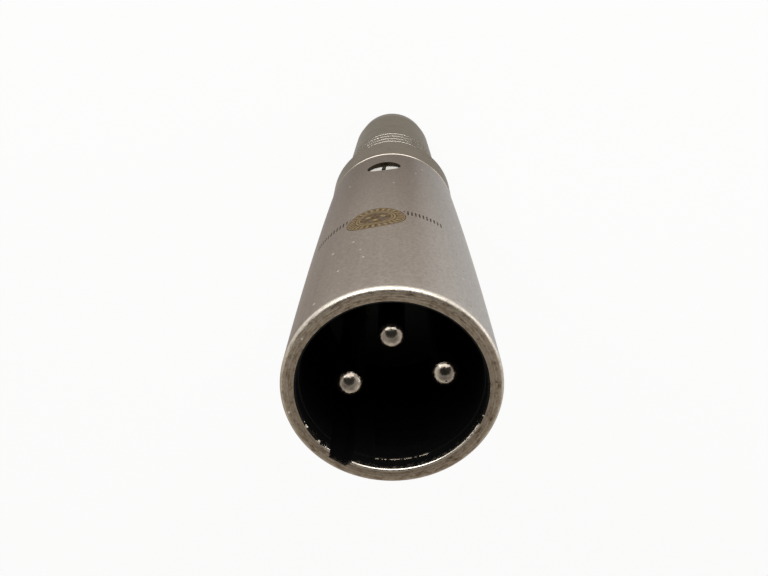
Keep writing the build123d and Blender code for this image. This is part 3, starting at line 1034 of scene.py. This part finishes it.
    def screw_cutter(self) -> Object:
        """Make the stepped plug that cuts the screw's hole and its sunk seat.

        Returns:
            The plug.
        """
        surface = self.side(self.screw_height)
        seat = surface - self.sink_recess
        throat = seat - (self.sink_radius - self.screw_radius) / tan(radians(self.sink_angle / 2))
        rings = [
            (self.screw_radius, self.rear_bore / 2),
            (self.screw_radius, throat),
            (self.sink_radius, seat),
            (self.sink_radius, surface + self.cut_beyond),
        ]
        cutter = raise_rings("screw_cutter", rings, self.screw_segments)
        bpy.ops.object.mode_set(mode="EDIT")
        bpy.ops.mesh.select_all(action="SELECT")
        bpy.ops.mesh.region_to_loop()
        bpy.ops.mesh.edge_face_add()
        bpy.ops.mesh.select_all(action="SELECT")
        bpy.ops.mesh.normals_make_consistent(inside=False)
        bpy.ops.object.mode_set(mode="OBJECT")
        cutter.rotation_euler = (radians(90), 0, 0)
        cutter.location = (0, 0, self.screw_height * MM)
        bpy.ops.object.transform_apply(location=True, rotation=True, scale=False)
        return cutter


@dataclass
class PinNumbers:
    """Raised pin numbers on the insulator's face, as such connectors carry."""

    face_height: float = 65.4
    letter_height: float = 1.5
    size_share: float = 1.4
    rise: float = 0.12
    sunk: float = 0.01
    edge_round: float = 0.03
    sites: tuple[tuple[str, float, float], ...] = (("1", -4.65, 2.35), ("2", 3.69, 2.35), ("3", 1.65, -4.3))

    def build(self) -> list[Object]:
        """Make each number, dress it and stand it on the insulator.

        Returns:
            The numbers, in order.
        """
        moulded = BLACK_PBT.material()
        pieces = []
        for number, x, y in self.sites:
            bpy.ops.object.select_all(action="DESELECT")
            bpy.ops.object.text_add(
                location=(x * MM, y * MM, (self.face_height + self.rise / 2) * MM), rotation=(0, 0, pi)
            )
            letter = bpy.context.object
            letter.name = f"pin_number_{number}"
            letter.data.body = number
            letter.data.size = self.size_share * self.letter_height * MM
            letter.data.extrude = (self.rise / 2 + self.sunk) * MM
            letter.data.bevel_depth = self.edge_round * MM
            letter.data.align_x = "CENTER"
            letter.data.align_y = "CENTER"
            bpy.ops.object.convert(target="MESH")
            bpy.ops.object.transform_apply(location=True, rotation=True, scale=True)
            mend()
            letter.data.materials.clear()
            letter.data.materials.append(moulded)
            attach(letter, Body.ADAPTER.value)
            pieces.append(letter)
        return pieces


def pick(piece: Object) -> None:
    """Select one piece alone and make it the active one.

    Args:
        piece: The piece.
    """
    bpy.ops.object.select_all(action="DESELECT")
    piece.select_set(True)
    bpy.context.view_layer.objects.active = piece


def mend() -> None:
    """Merge the doubles of the active piece and turn its faces outwards."""
    bpy.ops.object.mode_set(mode="EDIT")
    bpy.ops.mesh.select_all(action="SELECT")
    bpy.ops.mesh.remove_doubles(threshold=MERGE * MM)
    bpy.ops.mesh.normals_make_consistent(inside=False)
    bpy.ops.object.mode_set(mode="OBJECT")


def raise_rings(name: str, rings: list[tuple[float, float]], segments: int) -> Object:
    """Extrude a circle from ring to ring.

    Args:
        name: Name of the new object.
        rings: Radius and height of each ring in millimetres, in order.
        segments: Corners of the circle.

    Returns:
        The new open-ended tube, with its place in its mesh.
    """
    radius, height = rings[0]
    bpy.ops.object.select_all(action="DESELECT")
    bpy.ops.mesh.primitive_circle_add(vertices=segments, radius=radius * MM, location=(0, 0, height * MM))
    tube = bpy.context.object
    tube.name = name
    bpy.ops.object.transform_apply(location=True, rotation=False, scale=False)
    bpy.ops.object.mode_set(mode="EDIT")
    bpy.ops.mesh.select_all(action="SELECT")
    for next_radius, next_height in rings[1:]:
        lift = (0, 0, (next_height - height) * MM)
        bpy.ops.mesh.extrude_region_move(TRANSFORM_OT_translate={"value": lift})
        share = next_radius / radius
        if not isclose(share, 1.0):
            bpy.ops.transform.resize(value=(share, share, 1.0), center_override=(0, 0, next_height * MM))
        radius, height = next_radius, next_height
    bpy.ops.object.mode_set(mode="OBJECT")
    return tube


def widen(block: Object, side: float, share: float) -> None:
    """Scale one end of a block in y.

    Args:
        block: The block, centred on the origin.
        side: Which end in x, -1 or 1.
        share: Scale of that end.
    """
    bpy.ops.object.mode_set(mode="EDIT")
    bpy.ops.mesh.select_all(action="DESELECT")
    bpy.ops.object.mode_set(mode="OBJECT")
    for corner in block.data.vertices:
        corner.select = corner.co.x * side > 0
    bpy.ops.object.mode_set(mode="EDIT")
    bpy.ops.transform.resize(value=(1.0, share, 1.0), center_override=(0, 0, 0))
    bpy.ops.object.mode_set(mode="OBJECT")


def cut_away(piece: Object, cutter: Object) -> None:
    """Cut one solid out of another and drop the cutter.

    Args:
        piece: The object that loses material.
        cutter: The solid that is taken away.
    """
    pick(piece)
    cut = piece.modifiers.new("cut", "BOOLEAN")
    cut.operation = "DIFFERENCE"
    cut.solver = "EXACT"
    cut.object = cutter
    bpy.ops.object.modifier_apply(modifier=cut.name)
    bpy.data.objects.remove(cutter, do_unlink=True)


@dataclass(frozen=True)
class SoftBox:
    """A soft lamp, with its sizes in millimetres and its power in watts."""

    name: str
    place: tuple[float, float, float]
    size: tuple[float, float]
    power: float
    target: tuple[float, float, float] = (0.0, 0.0, 60.0)

    def hang(self) -> None:
        """Hang the lamp so that it faces its target."""
        data = bpy.data.lights.new(self.name, "AREA")
        data.shape = "RECTANGLE"
        data.size, data.size_y = [side * MM for side in self.size]
        data.energy = self.power
        lamp = bpy.data.objects.new(self.name, data)
        away = (Vector(self.place) - Vector(self.target)).normalized()
        turn = away.to_track_quat("Z", "Y").to_matrix().to_4x4()
        lamp.matrix_world = Matrix.Translation(Vector(self.place) * MM) @ turn
        bpy.context.scene.collection.objects.link(lamp)


@dataclass
class Studio:
    """Camera, floor, world and lamps."""

    camera_place: tuple[float, float, float] = (-4.53, -36.84, 142.85)
    camera_forward: tuple[float, float, float] = (0.05902, 0.40351, -0.91307)
    camera_up: tuple[float, float, float] = (-0.11001, -0.90646, -0.4077)
    lens: float = 39.84
    sensor: float = 36.0
    clip: tuple[float, float] = (1.0, 20000.0)
    floor_radius: float = 3000.0
    floor_segments: int = 96
    paper: float = 0.88
    walls: float = 1.1
    ceiling: float = 0.45
    # Sine of the slope upwards at which the walls end and at which the ceiling is at its dimmest
    wall_fade: tuple[float, float] = (0.35, 0.75)
    shade: float = 0.13
    shade_direction: tuple[float, float, float] = (-0.03, -0.5, 0.866)
    # Cosine of the angle from that direction where the shade starts and where it is full
    shade_fade: tuple[float, float] = (0.7, 0.78)
    lamps: tuple[SoftBox, ...] = (
        SoftBox("window", (0.0, -430.0, 210.0), (700.0, 360.0), 2.7),
        SoftBox("side_window", (-430.0, -60.0, 110.0), (300.0, 180.0), 0.3),
    )

    def place_camera(self) -> None:
        """Set the camera at the photograph's place."""
        forward = Vector(self.camera_forward).normalized()
        right = forward.cross(Vector(self.camera_up)).normalized()
        up = right.cross(forward)
        turn = Matrix((right, up, -forward)).transposed().to_4x4()
        data = bpy.data.cameras.new("camera")
        data.lens = self.lens
        data.sensor_width = self.sensor
        data.clip_start, data.clip_end = [reach * MM for reach in self.clip]
        camera = bpy.data.objects.new("camera", data)
        camera.matrix_world = Matrix.Translation(Vector(self.camera_place) * MM) @ turn
        bpy.context.scene.collection.objects.link(camera)
        bpy.context.scene.camera = camera

    def lay_floor(self) -> None:
        """Lay a white floor that reads as white paper and keeps the adapter's shadow."""
        bpy.ops.mesh.primitive_circle_add(
            vertices=self.floor_segments, radius=self.floor_radius * MM, fill_type="NGON"
        )
        floor = bpy.context.object
        floor.name = "floor"
        material = bpy.data.materials.new("white_table")
        material.use_nodes = True
        tree = material.node_tree
        tree.nodes.clear()
        rays = add_node(tree, "ShaderNodeLightPath")
        share = rays.outputs["Is Camera Ray"]
        for ray in ("Is Glossy Ray", "Is Transmission Ray"):
            share = add_node(
                tree, "ShaderNodeMath", {0: share, 1: rays.outputs[ray]}, operation="ADD", use_clamp=True
            ).outputs[0]
        share = add_node(tree, "ShaderNodeMath", {0: share, 1: self.paper}, operation="MULTIPLY").outputs[0]
        paper = add_node(tree, "ShaderNodeBsdfDiffuse", {"Color": linear("FFFFFF")})
        glow = add_node(tree, "ShaderNodeEmission", {"Color": linear("FFFFFF"), "Strength": 1.0})
        mixed = add_node(tree, "ShaderNodeMixShader", {0: share, 1: paper.outputs[0], 2: glow.outputs[0]})
        add_node(tree, "ShaderNodeOutputMaterial", {"Surface": mixed.outputs[0]})
        floor.data.materials.append(material)

    def light_world(self) -> None:
        """Make a pale room with a dim ceiling and one dark patch overhead, which the metal mirrors."""
        world = bpy.data.worlds.new("studio")
        world.use_nodes = True
        tree = world.node_tree
        tree.nodes.clear()
        ray = add_node(tree, "ShaderNodeTexCoord").outputs["Generated"]
        axes = add_node(tree, "ShaderNodeSeparateXYZ", {0: ray})
        facing = add_node(
            tree, "ShaderNodeVectorMath", {0: ray, 1: self.shade_direction}, operation="DOT_PRODUCT"
        )
        walls, shade = [
            add_node(tree, "ShaderNodeMapRange", {0: value, 1: low, 2: high, 3: start, 4: end}).outputs[0]
            for value, low, high, start, end in (
                (axes.outputs[2], *self.wall_fade, self.walls, self.ceiling),
                (facing.outputs["Value"], *self.shade_fade, 1.0, self.shade),
            )
        ]
        level = add_node(tree, "ShaderNodeMath", {0: walls, 1: shade}, operation="MULTIPLY")
        room = add_node(
            tree, "ShaderNodeBackground", {"Color": linear("FBF7F1"), "Strength": level.outputs[0]}
        )
        add_node(tree, "ShaderNodeOutputWorld", {"Surface": room.outputs[0]})
        bpy.context.scene.world = world

    def build(self) -> None:
        """Set up the whole studio."""
        self.place_camera()
        self.lay_floor()
        self.light_world()
        for lamp in self.lamps:
            lamp.hang()
        view = bpy.context.scene.view_settings
        view.view_transform = "Standard"


def dress_nodes(nodes: dict[str, Object]) -> None:
    """Give every CAD node its finish.

    Args:
        nodes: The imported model's nodes by name.
    """
    for name, finish in NODE_FINISHES.items():
        node = nodes[name]
        node.data.materials.clear()
        node.data.materials.append(finish.material())
        LOG.info("dressed %s in %s", name, finish.title)


def main() -> None:
    """Load the frame, dress it and set up the studio."""
    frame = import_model()
    bpy.ops.object.select_all(action="DESELECT")
    Studio().build()
    dress_nodes(frame["nodes"])
    for piece in (CastShell().build(), *PinNumbers().build()):
        LOG.info("built %s with %d faces", piece.name, len(piece.data.polygons))


if __name__ == "__main__":
    main()
